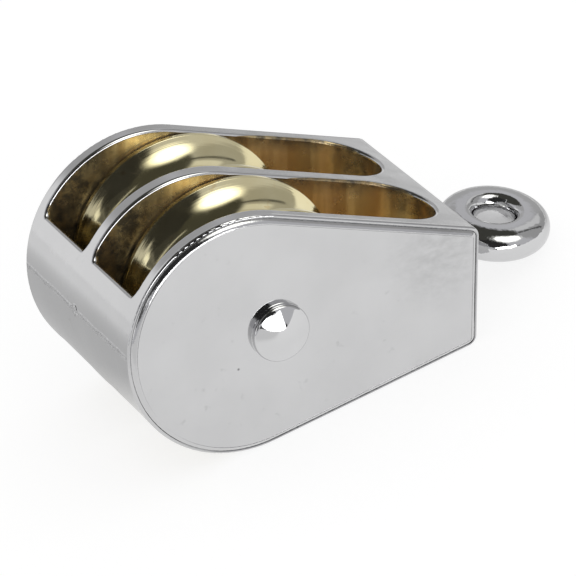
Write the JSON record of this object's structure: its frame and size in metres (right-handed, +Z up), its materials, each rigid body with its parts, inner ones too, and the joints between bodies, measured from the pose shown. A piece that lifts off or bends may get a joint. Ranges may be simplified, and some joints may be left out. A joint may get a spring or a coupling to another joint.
{
  "type": "wire rope pulley",
  "caption": "Teardrop die-cast pulley block: grooved sheaves side by side in open pockets on a riveted axle, with a ring eye that swivels in its straight end, for guiding or lifting rope",
  "frame": {"origin": "middle of the bounding box at floor level, under the block as it lies on its lower tapered side", "axes": "X runs from the round end towards the swivel eye, Y runs along the axle from the front face to the rear face, Z is up; the block's own long axis dips towards the eye by half the taper"},
  "size_m": [0.069, 0.0408, 0.034],
  "materials": {
    "plated_casting": "bright nickel plate over die-cast zinc, slightly wavy",
    "sheave_brass": "polished pale brass",
    "plated_rivet": "bright nickel plate over steel",
    "plated_eye": "bright nickel plate over steel"
  },
  "bodies": {
    "block": {"block_body": "plated_casting", "axle_rivet": "plated_rivet"},
    "front_wheel": {"sheave_front": "sheave_brass"},
    "rear_wheel": {"sheave_rear": "sheave_brass"},
    "eye": {"swivel_eye": "plated_eye"}
  },
  "joints": [
    {"name": "sheave_front_spin", "type": "hinge", "parent": "block", "child": "front_wheel", "pos_m": [-0.01316, -0.00783, 0.01586], "axis": [0, 1, 0], "continuous": true},
    {"name": "sheave_rear_spin", "type": "hinge", "parent": "block", "child": "rear_wheel", "pos_m": [-0.01316, 0.00783, 0.01586], "axis": [0, 1, 0], "continuous": true},
    {"name": "eye_swivel", "type": "hinge", "parent": "block", "child": "eye", "pos_m": [0.01585, 0, 0.00822], "axis": [0.9671, 0, -0.2545], "continuous": true}
  ]
}
